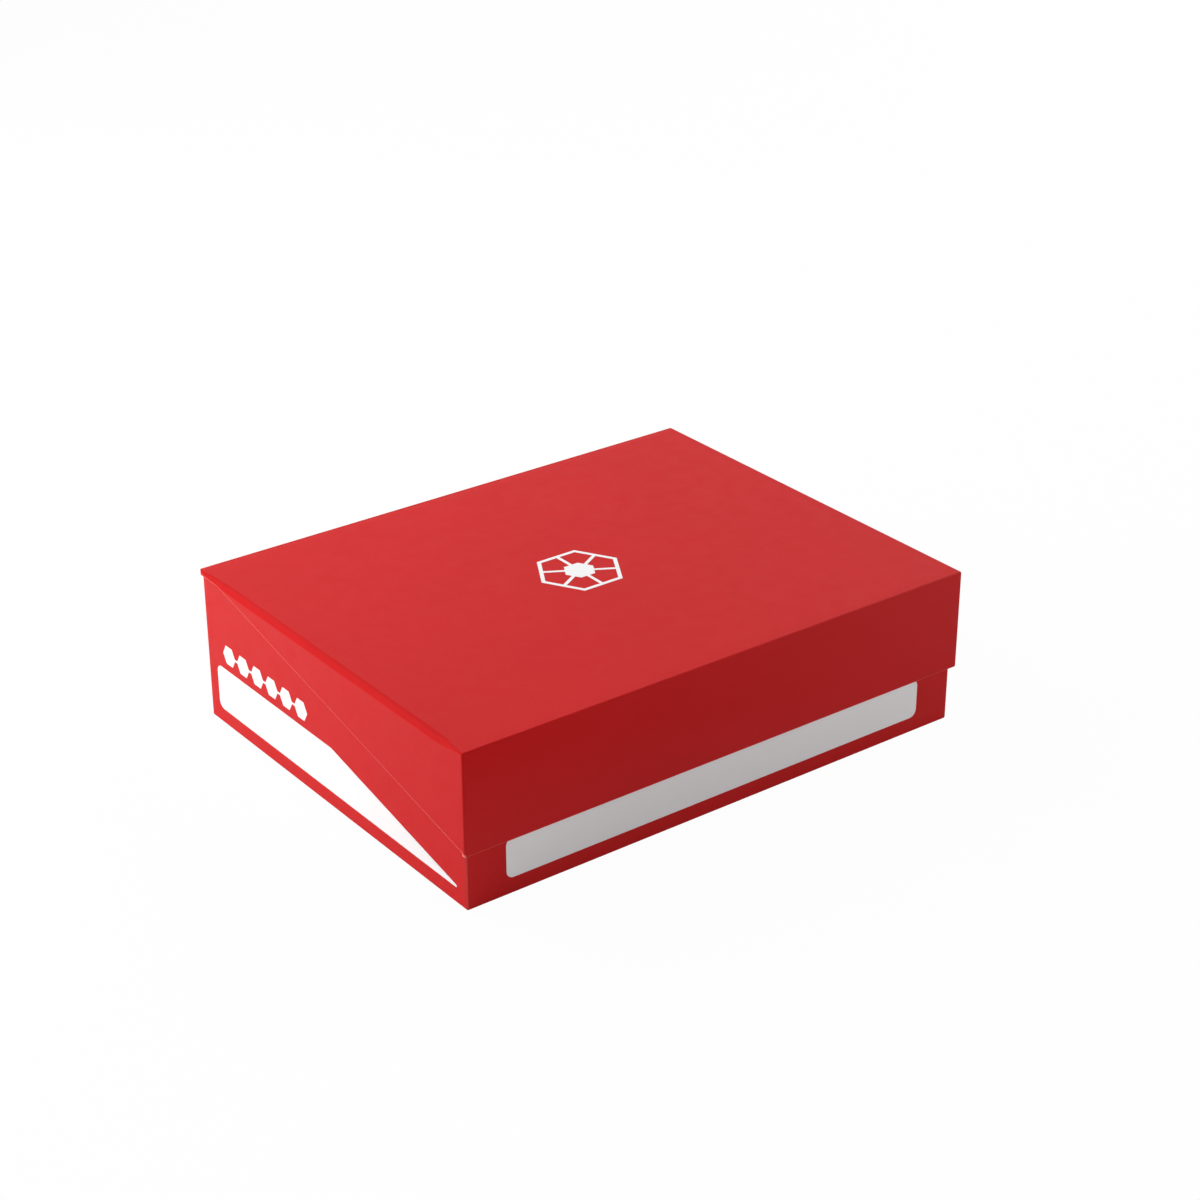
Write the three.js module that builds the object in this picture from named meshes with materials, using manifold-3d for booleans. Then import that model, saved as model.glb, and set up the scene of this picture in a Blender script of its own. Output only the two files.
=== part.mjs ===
// Flip-lid storage box for board game cards and tokens, built from wrapped greyboard.
// Millimetres. +Z is up, the long front wall faces -Y, and the origin is the centre of the underside.

import * as THREE from 'three';
import { mergeVertices } from 'three/addons/utils/BufferGeometryUtils.js';
import Module from 'manifold-3d';

const wasm = await Module();
wasm.setup();

// ---------------------------------------------------------------- driving dimensions

const width = 220;
const depth = 170;
const height = 61;

const coverThickness = 0.35;
const slip = 0.2;                 // play between the lid's lining and the base
const glueGap = 0.05;             // between a board's edge and the cover folded round it
const turnIn = 3;                 // cover left showing inside each rim, before the lining starts
const cut = 10;                   // how far a cutting tool runs past the piece it cuts

const lid = {
  left: -width / 2,
  right: width / 2,
  front: -depth / 2,
  rear: depth / 2 - 1.5,          // the hinge cloth spans the last 1.5 mm
  top: height,
  flapBottom: 22,
  seamStep: 1.25,                 // from the flap's lower edge up to the side panels' lower edge
  seamEnd: 71.7,                  // the side panels' lower edge stops climbing here
  rearCornerHeight: 2,            // and runs level to the rear, this far below the top
  topBoard: 1.75,
  flapBoard: 1.15,
  sideBoard: 1,
  lining: 0.2,
  sideEdgeRadius: 2,
  frontEdgeRadius: 0.8,
  rearCornerRadius: 2,
};
lid.underside = lid.top - coverThickness - lid.topBoard - lid.lining;
lid.innerHalfWidth = lid.right - coverThickness - lid.sideBoard - lid.lining;
lid.innerFront = lid.front + coverThickness + lid.flapBoard + lid.lining;

const base = {
  halfWidth: lid.innerHalfWidth - slip,
  front: lid.innerFront + slip,
  rear: depth / 2,
  top: lid.underside - slip,
  board: 1.8,
  lining: 0.25,
  cornerRadius: 0.8,
  rearLipTop: 58.1,               // the rear wall is lower, to leave room for the hinge lining
};
base.wall = coverThickness + base.board + base.lining;
base.innerHalfWidth = base.halfWidth - base.wall;
base.innerFront = base.front + base.wall;
base.innerRear = base.rear - base.wall;
base.floor = base.wall;

const hinge = {
  liningThickness: 0.2,
  liningHalfWidth: base.innerHalfWidth - 0.25,
  liningOnLid: 14,
  liningOnWall: 12,
  bendInset: 0.55,                // from the rear face to the inner cloth's bend
};

const label = {
  thickness: 0.12,
  bottom: 6.3,
  frontTop: 21.9,
  frontHalfLength: 92.4,
  sideTop: 24.3,
  sideRear: depth / 2 - 6.5,
  sideBend: -0.6,
  sideTip: -77.2,
  cornerRadius: 3,
  tipRadius: 0.5,
};

const mark = {
  thickness: 0.06,
  radius: 17,
  ringWidth: 1.7,
  hubRadius: 6.2,
  spokeWidth: 1.5,
};

const sideMark = {
  thickness: 0.06,
  count: 6,
  radius: 4.3,
  pitch: 10,
  linkHeight: 0.8,
  rearCentreY: 69,
  centreZ: 31,
};

const closure = {
  x: 70,
  z: 34,
  magnetRadius: 5,
  magnetThickness: 1,
  keeperSize: 14,
  keeperThickness: 0.6,
  play: 0.1,
};

const tray = {
  side: 0.25,                     // play to the lining beside the tray
  middle: 0.2,                    // from the box's middle plane
  front: base.innerFront + 0.3,
  rear: base.innerRear - 0.5,
  top: 54.4,
  wall: 1.6,
  scoopRadius: 22,
  notchRadius: 11,
  slotPitch: 40,
  slotWidth: 1.6,
  rib: 1.2,
  ribTopDrop: 1,
};
tray.centreX = (base.innerHalfWidth - tray.side + tray.middle) / 2;
tray.width = base.innerHalfWidth - tray.side - tray.middle;
tray.laneWidth = (tray.width - 3 * tray.wall) / 2;
tray.laneX = (tray.laneWidth + tray.wall) / 2;
tray.centreY = (tray.front + tray.rear) / 2;

const divider = {
  thickness: 1.2,
  play: 0.3,
  topDrop: 1,
  notchRadius: 9,
};

// ---------------------------------------------------------------- materials

const finish = (color, roughness, metalness = 0) =>
  new THREE.MeshStandardMaterial({ color, roughness, metalness });

const coverFinish = () => finish('#c8282c', 0.5);
const liningFinish = () => finish('#3b3a3d', 0.95);
const boardFinish = () => finish('#8d8a84', 0.9);
const labelFinish = () => finish('#f6f5f4', 0.6);
const markFinish = () => finish('#f2f0f0', 0.45);
const trayFinish = () => finish('#c9cacb', 0.45);
const dividerFinish = () => finish('#e4e4e3', 0.4);
const magnetFinish = () => finish('#b9bbbe', 0.2, 1);
const keeperFinish = () => finish('#8f9296', 0.4, 0.9);

// ---------------------------------------------------------------- solids

// Corners lie on a one-micron grid, so that faces which touch are on exactly the same plane.
const grid = 1000;

function solidOf(geometry) {
  geometry.deleteAttribute('normal');
  geometry.deleteAttribute('uv');
  const corners = geometry.attributes.position.array;
  corners.forEach((value, index) => {
    corners[index] = Math.round(value * grid) / grid;
  });
  const merged = mergeVertices(geometry, 1e-4);
  return new wasm.Manifold(new wasm.Mesh({
    numProp: 3,
    vertProperties: merged.attributes.position.array,
    triVerts: new Uint32Array(merged.index.array),
  }));
}

function geometryOf(solid) {
  const mesh = solid.getMesh();
  const geometry = new THREE.BufferGeometry();
  geometry.setAttribute('position', new THREE.BufferAttribute(mesh.vertProperties, 3));
  geometry.setIndex(new THREE.BufferAttribute(mesh.triVerts, 1));
  geometry.computeVertexNormals();
  return geometry;
}

// A box between two limits on each axis.
function block([x0, x1], [y0, y1], [z0, z1]) {
  const geometry = new THREE.BoxGeometry(x1 - x0, y1 - y0, z1 - z0);
  geometry.translate((x0 + x1) / 2, (y0 + y1) / 2, (z0 + z1) / 2);
  return solidOf(geometry);
}

function extrusion(shape, length, curveSegments) {
  return new THREE.ExtrudeGeometry(shape, { depth: length, bevelEnabled: false, curveSegments });
}

// A (y, z) outline swept from x0 to x1.
function sweepX(shape, x0, x1, curveSegments = 6) {
  const geometry = extrusion(shape, x1 - x0, curveSegments);
  const turn = new THREE.Matrix4().makeBasis(
    new THREE.Vector3(0, 1, 0), new THREE.Vector3(0, 0, 1), new THREE.Vector3(1, 0, 0));
  geometry.applyMatrix4(turn);
  geometry.translate(x0, 0, 0);
  return solidOf(geometry);
}

// An (x, z) outline swept from y0 to y1.
function sweepY(shape, y0, y1, curveSegments = 6) {
  const geometry = extrusion(shape, y1 - y0, curveSegments);
  geometry.rotateX(Math.PI / 2);
  geometry.translate(0, y1, 0);
  return solidOf(geometry);
}

// An (x, y) outline swept from z0 to z1.
function sweepZ(shape, z0, z1, curveSegments = 6) {
  const geometry = extrusion(shape, z1 - z0, curveSegments);
  geometry.translate(0, 0, z0);
  return solidOf(geometry);
}

const span = (a, b) => [Math.min(a, b), Math.max(a, b)];
const unite = (solids) => solids.reduce((sum, solid) => sum.add(solid));
const remove = (solid, tools) => tools.reduce((rest, tool) => rest.subtract(tool), solid);

const outline = (points) => new THREE.Shape(points.map(([u, v]) => new THREE.Vector2(u, v)));

// A rectangle with its own radius at each corner, in the order of the arguments' corners:
// (u0, v0), (u1, v0), (u1, v1), (u0, v1). A radius of 0 is a square corner.
function roundedRectangle([u0, u1], [v0, v1], [r00, r10, r11, r01]) {
  const shape = new THREE.Shape();
  const corners = [
    [u0 + r00, v0 + r00, r00, Math.PI],
    [u1 - r10, v0 + r10, r10, 1.5 * Math.PI],
    [u1 - r11, v1 - r11, r11, 0],
    [u0 + r01, v1 - r01, r01, 0.5 * Math.PI],
  ];
  corners.forEach(([u, v, r, start], index) => {
    if (r > 0) {
      shape.absarc(u, v, r, start, start + Math.PI / 2, false);
    } else if (index === 0) {
      shape.moveTo(u, v);
    } else {
      shape.lineTo(u, v);
    }
  });
  return shape;
}

function hexagon(radius, centre = [0, 0]) {
  const points = [...Array(6).keys()].map((corner) => {
    const angle = corner * Math.PI / 3;
    return [centre[0] + radius * Math.cos(angle), centre[1] + radius * Math.sin(angle)];
  });
  return outline(points);
}

// ---------------------------------------------------------------- lid

// The side panels' lower edge climbs from the flap to the underside of the top, then runs level.
const seamStart = lid.flapBottom + lid.seamStep;
const seamTop = lid.top - lid.rearCornerHeight;
const seamSlope = (seamTop - seamStart) / (lid.seamEnd - lid.innerFront);
const seamRise = Math.hypot(1, seamSlope);

// The (y, z) outline of a side panel's inside, raised by a gap from its lower edge.
function sidePanelOutline(front, top, gap) {
  const bottom = seamStart + gap * seamRise;
  const apex = lid.innerFront + (top - bottom) / seamSlope;
  return outline([[front, bottom], [lid.innerFront, bottom], [apex, top], [front, top]]);
}

function lidOuter() {
  const radius = lid.frontEdgeRadius;
  const side = new THREE.Shape();
  side.moveTo(lid.front, lid.flapBottom);
  side.lineTo(lid.innerFront, lid.flapBottom);
  side.lineTo(lid.innerFront, seamStart);
  side.lineTo(lid.seamEnd, seamTop);
  side.lineTo(lid.rear, seamTop);
  side.lineTo(lid.rear, lid.top);
  side.absarc(lid.front + radius, lid.top - radius, radius, Math.PI / 2, Math.PI, false);
  const front = roundedRectangle(
    [lid.left, lid.right], [lid.flapBottom - cut, lid.top],
    [0, 0, lid.sideEdgeRadius, lid.sideEdgeRadius]);
  const plan = roundedRectangle(
    [lid.left, lid.right], [lid.front, lid.rear],
    [radius, radius, lid.rearCornerRadius, lid.rearCornerRadius]);
  return sweepX(side, lid.left - cut, lid.right + cut)
    .intersect(sweepY(front, lid.front - cut, lid.rear + cut))
    .intersect(sweepZ(plan, -cut, lid.top + cut));
}

const lidBoards = {
  halfWidth: lid.right - coverThickness,
  topHalfWidth: lid.innerHalfWidth - coverThickness,
  front: lid.front + coverThickness,
  rear: lid.rear - coverThickness,
  top: lid.top - coverThickness,
  sideTop: lid.top - 1.4,         // below the rounded top edge
};
lidBoards.topBoardBottom = lidBoards.top - lid.topBoard;

// Top, flap and sides, with the cover folded under each lower edge and a little way up inside.
function lidCover() {
  const inside = block(
    [-lid.innerHalfWidth, lid.innerHalfWidth],
    [lid.innerFront, lidBoards.rear],
    [-cut, lidBoards.topBoardBottom]);
  const flapPocket = block(
    [-lidBoards.halfWidth, lidBoards.halfWidth],
    [lidBoards.front, lidBoards.front + lid.flapBoard],
    [lid.flapBottom + coverThickness, lidBoards.topBoardBottom]);
  const topPocket = block(
    [-lidBoards.topHalfWidth, lidBoards.topHalfWidth],
    [lidBoards.front, lidBoards.rear],
    [lidBoards.topBoardBottom, lidBoards.top]);
  const panel = sidePanelOutline(lidBoards.front, lidBoards.sideTop, coverThickness);
  const sidePockets = [-1, 1].map((side) => sweepX(
    panel, ...span(side * (lidBoards.halfWidth - lid.sideBoard), side * lidBoards.halfWidth)));
  return remove(lidOuter(), [inside, flapPocket, topPocket, ...sidePockets, lidLining()]);
}

function lidTopBoard() {
  return block(
    [-lidBoards.topHalfWidth, lidBoards.topHalfWidth],
    [lidBoards.front, lidBoards.rear],
    [lidBoards.topBoardBottom, lidBoards.top]);
}

// The flap's board, with a round hole for each magnet.
function lidFrontBoard() {
  const halfWidth = lidBoards.halfWidth - lid.sideBoard;
  const board = block(
    [-halfWidth, halfWidth],
    [lidBoards.front, lidBoards.front + lid.flapBoard],
    [lid.flapBottom + coverThickness + glueGap, lidBoards.topBoardBottom]);
  const holes = [-1, 1].map((side) => disc(
    side * closure.x, closure.magnetRadius + closure.play,
    lidBoards.front - cut, lid.innerFront + cut));
  return remove(board, holes);
}

function lidSideBoard(side) {
  const panel = sidePanelOutline(lidBoards.front, lidBoards.sideTop, coverThickness + glueGap);
  return sweepX(panel, ...span(side * (lidBoards.halfWidth - lid.sideBoard), side * lidBoards.halfWidth));
}

function lidLining() {
  const outer = lid.innerHalfWidth + lid.lining;
  const front = lid.innerFront - lid.lining;
  const roof = block(
    [-lid.innerHalfWidth, lid.innerHalfWidth],
    [front, lidBoards.rear],
    [lid.underside, lidBoards.topBoardBottom]);
  const flap = block(
    [-outer, outer], [front, lid.innerFront],
    [lid.flapBottom + turnIn, lidBoards.topBoardBottom]);
  const panel = sidePanelOutline(front, lidBoards.sideTop, turnIn);
  return unite([
    roof, flap,
    sweepX(panel, lid.innerHalfWidth, outer),
    sweepX(panel, -outer, -lid.innerHalfWidth),
  ]);
}

// A round piece with its axis along Y.
function disc(x, radius, y0, y1) {
  const geometry = new THREE.CylinderGeometry(radius, radius, y1 - y0, 32);
  geometry.translate(x, (y0 + y1) / 2, closure.z);
  return solidOf(geometry);
}

function magnet(side) {
  const front = lidBoards.front;
  return disc(side * closure.x, closure.magnetRadius, front, front + closure.magnetThickness);
}

// A plain hexagonal rosette: ring, hub and six spokes.
function lidMark() {
  const z = [lid.top, lid.top + mark.thickness];
  const ring = hexagon(mark.radius);
  ring.holes.push(hexagon(mark.radius - mark.ringWidth));
  const spokes = [0, 1, 2].map((turn) => {
    const halfLength = mark.radius - mark.ringWidth / 2;
    const bar = new THREE.BoxGeometry(2 * halfLength, mark.spokeWidth, mark.thickness);
    bar.rotateZ(Math.PI / 6 + turn * Math.PI / 3);
    bar.scale(Math.cos(Math.PI / 6), Math.cos(Math.PI / 6), 1);
    bar.translate(0, 0, (z[0] + z[1]) / 2);
    return solidOf(bar);
  });
  return unite([sweepZ(ring, ...z), sweepZ(hexagon(mark.hubRadius), ...z), ...spokes]);
}

// ---------------------------------------------------------------- base

const baseBoards = {
  halfWidth: base.halfWidth - coverThickness,
  front: base.front + coverThickness,
  rear: base.rear - coverThickness,
  bottom: coverThickness,
  top: base.top - coverThickness,
  rearTop: base.rearLipTop - coverThickness,
};
baseBoards.wallBottom = baseBoards.bottom + base.board;
baseBoards.innerHalfWidth = baseBoards.halfWidth - base.board;
baseBoards.innerFront = baseBoards.front + base.board;
baseBoards.innerRear = baseBoards.rear - base.board;

// Floor and four walls, with the cover folded over the top of each wall and a little way down inside.
function baseCover() {
  const radii = Array(4).fill(base.cornerRadius);
  const outer = sweepZ(
    roundedRectangle([-base.halfWidth, base.halfWidth], [base.front, base.rear], radii), 0, base.top);
  const boardWidth = [-baseBoards.halfWidth, baseBoards.halfWidth];
  const mouthWidth = [-base.innerHalfWidth, base.innerHalfWidth];
  const insideBoards = block(
    [-baseBoards.innerHalfWidth, baseBoards.innerHalfWidth],
    [baseBoards.innerFront, baseBoards.innerRear],
    [baseBoards.wallBottom, base.top + cut]);
  const frontAndSides = block(
    boardWidth, [baseBoards.front, baseBoards.innerRear], [baseBoards.bottom, baseBoards.top]);
  const rear = block(
    boardWidth, [baseBoards.innerRear, baseBoards.rear], [baseBoards.bottom, baseBoards.rearTop]);
  return remove(outer, [
    frontAndSides.subtract(insideBoards),
    rear,
    baseLining(),
    block(mouthWidth, [base.innerFront, base.innerRear], [base.floor, base.top + cut]),
    block(mouthWidth, [base.innerRear, baseBoards.rear], [base.rearLipTop, base.top + cut]),
  ]);
}

function baseBottomBoard() {
  return block(
    [-baseBoards.halfWidth, baseBoards.halfWidth],
    [baseBoards.front, baseBoards.rear],
    [baseBoards.bottom, baseBoards.wallBottom]);
}

// The front board, with a shallow pocket for each steel keeper in its outer face.
function baseFrontBoard() {
  const board = block(
    [-baseBoards.halfWidth, baseBoards.halfWidth],
    [baseBoards.front, baseBoards.innerFront],
    [baseBoards.wallBottom, baseBoards.top]);
  return remove(board, [-1, 1].map((side) => keeperBlock(side, closure.play, cut)));
}

function keeperBlock(side, play, outward) {
  const half = closure.keeperSize / 2 + play;
  return block(
    [side * closure.x - half, side * closure.x + half],
    [baseBoards.front - outward, baseBoards.front + closure.keeperThickness + play],
    [closure.z - half, closure.z + half]);
}

function baseRearBoard() {
  return block(
    [-baseBoards.halfWidth, baseBoards.halfWidth],
    [baseBoards.innerRear, baseBoards.rear],
    [baseBoards.wallBottom, baseBoards.rearTop]);
}

function baseSideBoard(side) {
  return block(
    span(side * baseBoards.innerHalfWidth, side * baseBoards.halfWidth),
    [baseBoards.innerFront, baseBoards.innerRear],
    [baseBoards.wallBottom, baseBoards.top]);
}

// Floor and walls, up to the turned-in rim of the cover.
function baseLining() {
  const outer = block(
    [-baseBoards.innerHalfWidth, baseBoards.innerHalfWidth],
    [baseBoards.innerFront, baseBoards.innerRear],
    [baseBoards.wallBottom, base.top - turnIn]);
  const inner = block(
    [-base.innerHalfWidth, base.innerHalfWidth],
    [base.innerFront, base.innerRear],
    [base.floor, base.top + cut]);
  return outer.subtract(inner);
}

function frontLabel() {
  const half = label.frontHalfLength;
  const shape = roundedRectangle(
    [-half, half], [label.bottom, label.frontTop], Array(4).fill(label.cornerRadius));
  return sweepY(shape, base.front - label.thickness, base.front);
}

// A label with a straight rear part and a long taper that follows the lid's seam.
function sideLabelOutline() {
  const { bottom, sideTop, sideRear, sideBend, sideTip, cornerRadius, tipRadius } = label;
  const tipCentre = [sideTip + tipRadius, bottom + tipRadius];
  const taper = Math.atan2(sideTop - bottom - 2 * tipRadius, sideBend - tipCentre[0]);
  const shape = new THREE.Shape();
  shape.absarc(sideRear - cornerRadius, bottom + cornerRadius, cornerRadius, -Math.PI / 2, 0, false);
  shape.absarc(sideRear - cornerRadius, sideTop - cornerRadius, cornerRadius, 0, Math.PI / 2, false);
  shape.lineTo(sideBend, sideTop);
  shape.absarc(...tipCentre, tipRadius, Math.PI / 2 + taper, 1.5 * Math.PI, false);
  return shape;
}

function sideLabel(side) {
  const x = span(side * base.halfWidth, side * (base.halfWidth + label.thickness));
  return sweepX(sideLabelOutline(), ...x);
}

// A plain row of linked hexagons above a side label.
function sideMarkRow(side) {
  const x = span(side * base.halfWidth, side * (base.halfWidth + sideMark.thickness));
  const places = [...Array(sideMark.count).keys()];
  const centres = places.map((place) => sideMark.rearCentreY - place * sideMark.pitch);
  const tiles = centres.map((y) => sweepX(hexagon(sideMark.radius, [y, sideMark.centreZ]), ...x));
  const link = block(
    x, [centres.at(-1), centres[0]],
    [sideMark.centreZ - sideMark.linkHeight / 2, sideMark.centreZ + sideMark.linkHeight / 2]);
  return unite([link, ...tiles]);
}

// ---------------------------------------------------------------- hinge

// The outer cloth runs up the rear wall and over the edge to the lid's top.
function hingeCover() {
  const shape = new THREE.Shape();
  const radius = lid.frontEdgeRadius;
  shape.moveTo(base.rear, base.top);
  shape.absarc(base.rear - radius, lid.top - radius, radius, 0, Math.PI / 2, false);
  shape.lineTo(lid.rear, lid.top);
  shape.lineTo(lid.rear, lid.top - coverThickness);
  shape.lineTo(base.rear - radius, lid.top - coverThickness);
  shape.lineTo(base.rear - coverThickness, lid.top - radius);
  shape.lineTo(base.rear - coverThickness, base.top);
  return sweepX(shape, -base.halfWidth, base.halfWidth);
}

// The inner cloth: down the wall's inside, over its top, folded back, then along the lid's underside.
function hingeLining() {
  const t = hinge.liningThickness;
  const bend = base.rear - hinge.bendInset;
  const wall = base.innerRear;
  const lowerTop = base.rearLipTop + t;
  return sweepX(outline([
    [wall - t, base.rearLipTop - hinge.liningOnWall],
    [wall, base.rearLipTop - hinge.liningOnWall],
    [wall, base.rearLipTop],
    [bend, base.rearLipTop],
    [bend, lid.underside],
    [bend - hinge.liningOnLid, lid.underside],
    [bend - hinge.liningOnLid, lid.underside - t],
    [bend - t, lid.underside - t],
    [bend - t, lowerTop],
    [wall - t, lowerTop],
  ]), -hinge.liningHalfWidth, hinge.liningHalfWidth);
}

// ---------------------------------------------------------------- trays and dividers

const outerLane = 1;
const innerLane = -1;
const laneCentre = (side, lane) => side * (tray.centreX + lane * tray.laneX);

// The (x, z) outline of a lane: straight sides and a scooped floor, open at the top.
function laneOutline(centreX, halfWidth, bottom, top, radius) {
  return roundedRectangle(
    [centreX - halfWidth, centreX + halfWidth], [bottom, top], [radius, radius, 0, 0]);
}

function slotRibs(laneX) {
  const bottom = base.floor + tray.wall + tray.scoopRadius;
  const ribOffset = (tray.slotWidth + tray.rib) / 2;
  const ribs = [];
  for (const slot of [-1, 0, 1]) {
    for (const side of [-1, 1]) {
      for (const flank of [-1, 1]) {
        const y = tray.centreY + slot * tray.slotPitch + flank * ribOffset;
        const wallX = laneX + side * (tray.laneWidth / 2);
        ribs.push(block(
          span(wallX - side * tray.rib, wallX + side * tray.wall / 2),
          [y - tray.rib / 2, y + tray.rib / 2],
          [bottom, tray.top - tray.ribTopDrop]));
      }
    }
  }
  return ribs;
}

// Two scooped lanes with a shared middle wall, divider slots and a finger notch at each end.
function trayBody(side) {
  const shellHalf = tray.laneWidth / 2 + tray.wall;
  const shells = [];
  const lanes = [];
  const ribs = [];
  const notches = [];
  for (const lane of [innerLane, outerLane]) {
    const x = laneCentre(side, lane);
    shells.push(sweepY(
      laneOutline(x, shellHalf, base.floor, tray.top, tray.scoopRadius + tray.wall),
      tray.front, tray.rear, 14));
    lanes.push(sweepY(
      laneOutline(x, tray.laneWidth / 2, base.floor + tray.wall, tray.top + cut, tray.scoopRadius),
      tray.front + tray.wall, tray.rear - tray.wall, 14));
    ribs.push(...slotRibs(x));
    notches.push(notch(x, tray.top, tray.notchRadius, tray.front - cut, tray.rear + cut));
  }
  return remove(unite([remove(unite(shells), lanes), ...ribs]), notches);
}

// A half-round cutter along Y whose centre lies on a top edge.
function notch(x, z, radius, y0, y1) {
  const geometry = new THREE.CylinderGeometry(radius, radius, y1 - y0, 36);
  geometry.translate(x, (y0 + y1) / 2, z);
  return solidOf(geometry);
}

// A divider standing in one of a lane's three slots.
function dividerPlate(side, lane, slot) {
  const x = laneCentre(side, lane);
  const y = tray.centreY + slot * tray.slotPitch;
  const top = tray.top - divider.topDrop;
  const plate = sweepY(
    laneOutline(
      x, tray.laneWidth / 2 - divider.play, base.floor + tray.wall + divider.play,
      top, tray.scoopRadius - divider.play),
    y - divider.thickness / 2, y + divider.thickness / 2, 14);
  return remove(plate, [notch(x, top, divider.notchRadius, y - cut, y + cut)]);
}

// ---------------------------------------------------------------- assembly

function named(name, solid, material) {
  const mesh = new THREE.Mesh(geometryOf(solid), material);
  mesh.name = name;
  return mesh;
}

const baseGroup = new THREE.Group();
baseGroup.add(
  named('base_cover', baseCover(), coverFinish()),
  named('base_bottom_board', baseBottomBoard(), boardFinish()),
  named('base_front_board', baseFrontBoard(), boardFinish()),
  named('base_rear_board', baseRearBoard(), boardFinish()),
  named('base_left_board', baseSideBoard(-1), boardFinish()),
  named('base_right_board', baseSideBoard(1), boardFinish()),
  named('base_lining', baseLining(), liningFinish()),
  named('front_label', frontLabel(), labelFinish()),
  named('left_label', sideLabel(-1), labelFinish()),
  named('right_label', sideLabel(1), labelFinish()),
  named('left_mark', sideMarkRow(-1), markFinish()),
  named('right_mark', sideMarkRow(1), markFinish()),
  named('keeper_plate_left', keeperBlock(-1, 0, 0), keeperFinish()),
  named('keeper_plate_right', keeperBlock(1, 0, 0), keeperFinish()),
  named('tray_left', trayBody(-1), trayFinish()),
  named('tray_right', trayBody(1), trayFinish()),
  named('divider_left_outer', dividerPlate(-1, outerLane, 0), dividerFinish()),
  named('divider_left_inner', dividerPlate(-1, innerLane, 1), dividerFinish()),
  named('divider_right_inner', dividerPlate(1, innerLane, 1), dividerFinish()),
  named('divider_right_outer', dividerPlate(1, outerLane, 0), dividerFinish()),
  named('hinge_cover', hingeCover(), coverFinish()),
  named('hinge_lining', hingeLining(), liningFinish()),
);

const lidGroup = new THREE.Group();
lidGroup.add(
  named('lid_cover', lidCover(), coverFinish()),
  named('lid_top_board', lidTopBoard(), boardFinish()),
  named('lid_front_board', lidFrontBoard(), boardFinish()),
  named('lid_left_board', lidSideBoard(-1), boardFinish()),
  named('lid_right_board', lidSideBoard(1), boardFinish()),
  named('lid_lining', lidLining(), liningFinish()),
  named('magnet_left', magnet(-1), magnetFinish()),
  named('magnet_right', magnet(1), magnetFinish()),
  named('lid_mark', lidMark(), markFinish()),
);

const box = new THREE.Group();
box.add(baseGroup, lidGroup);

export default box;
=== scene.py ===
"""A flip-lid storage box for board game cards and tokens: wrapped board in fine red synthetic leather,
a hinged lid with a deep front flap and tapering side panels, white labels, and lift-out moulded trays.

Sizes below are in millimetres and are turned into metres when a mesh is made.
"""
import math

import bmesh
import bpy
from mathutils import Matrix, Vector


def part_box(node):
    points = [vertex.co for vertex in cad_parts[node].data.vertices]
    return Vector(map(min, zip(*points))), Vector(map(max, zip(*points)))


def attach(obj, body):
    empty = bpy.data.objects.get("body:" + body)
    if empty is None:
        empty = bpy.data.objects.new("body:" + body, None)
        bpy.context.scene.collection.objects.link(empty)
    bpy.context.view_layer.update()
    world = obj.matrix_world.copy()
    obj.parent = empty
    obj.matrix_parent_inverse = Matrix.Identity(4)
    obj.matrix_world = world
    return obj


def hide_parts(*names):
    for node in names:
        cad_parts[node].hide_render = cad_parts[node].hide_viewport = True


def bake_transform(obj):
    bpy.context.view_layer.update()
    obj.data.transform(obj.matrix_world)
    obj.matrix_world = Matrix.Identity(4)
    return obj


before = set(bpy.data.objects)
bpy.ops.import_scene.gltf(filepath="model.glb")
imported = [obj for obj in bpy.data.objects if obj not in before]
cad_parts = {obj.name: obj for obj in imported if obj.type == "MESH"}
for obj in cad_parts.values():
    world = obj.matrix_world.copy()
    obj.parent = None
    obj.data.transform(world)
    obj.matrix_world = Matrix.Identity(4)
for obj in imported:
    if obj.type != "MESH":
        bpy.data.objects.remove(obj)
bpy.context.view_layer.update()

MM = 0.001
SCENE = bpy.context.scene


# ---------------------------------------------------------------- sizes from the frame

class Extent:
    """A CAD node's box at rest, in millimetres."""

    def __init__(self, node):
        low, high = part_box(node)
        self.x0, self.y0, self.z0 = (value / MM for value in low)
        self.x1, self.y1, self.z1 = (value / MM for value in high)

    def middle(self, axis):
        return (getattr(self, axis + "0") + getattr(self, axis + "1")) / 2


LID = Extent("lid_cover")
BASE = Extent("base_cover")
HINGE = Extent("hinge_cover")
LID_LINING = Extent("lid_lining")
BASE_LINING = Extent("base_lining")
HINGE_LINING = Extent("hinge_lining")

COVER_SHEET = 0.2          # the red sheet, thinner than the glued cover so that the boards fit inside
SLIP = 0.2                 # play between the inside of the lid's cover and the base

LID_LEFT_EDGE = 2.4        # radius of the lid's left top edge, which is rounder than the others
SHARPENING_FRONT = 14      # length over which that radius sharpens towards the front corner
SHARPENING_REAR = 22       # and towards the rear corner
LID_SHARP_EDGE = 0.7       # radius of its other top edges and front vertical edges
LID_REAR_CORNER = 2.5      # radius of its rear vertical edges
BASE_EDGE = 0.7            # radius of the base's vertical and lower edges
FOLD = 0.5                 # radius of the cover where it turns round a board's edge
TURN_IN = 3                # red cover left showing inside a rim
LINING_SHEET = 0.18        # thickness of the lining cloth
LINING_PROUD = 0.08        # how far the lining stands in from the turned-in cover
LINING_FILLET = 0.4        # radius of the lid lining's inner corners
BASE_LINING_FILLET = 0.8   # radius of the base lining's inner corners
BASE_LINING_CAD = 0.25     # thickness of the CAD lining, whose outer faces lie on the base's boards
SPARE = 12                 # how far a shell is made too long, before it is cut to its edge
NEAR = 1e-3                # how close two places count as the same

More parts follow.
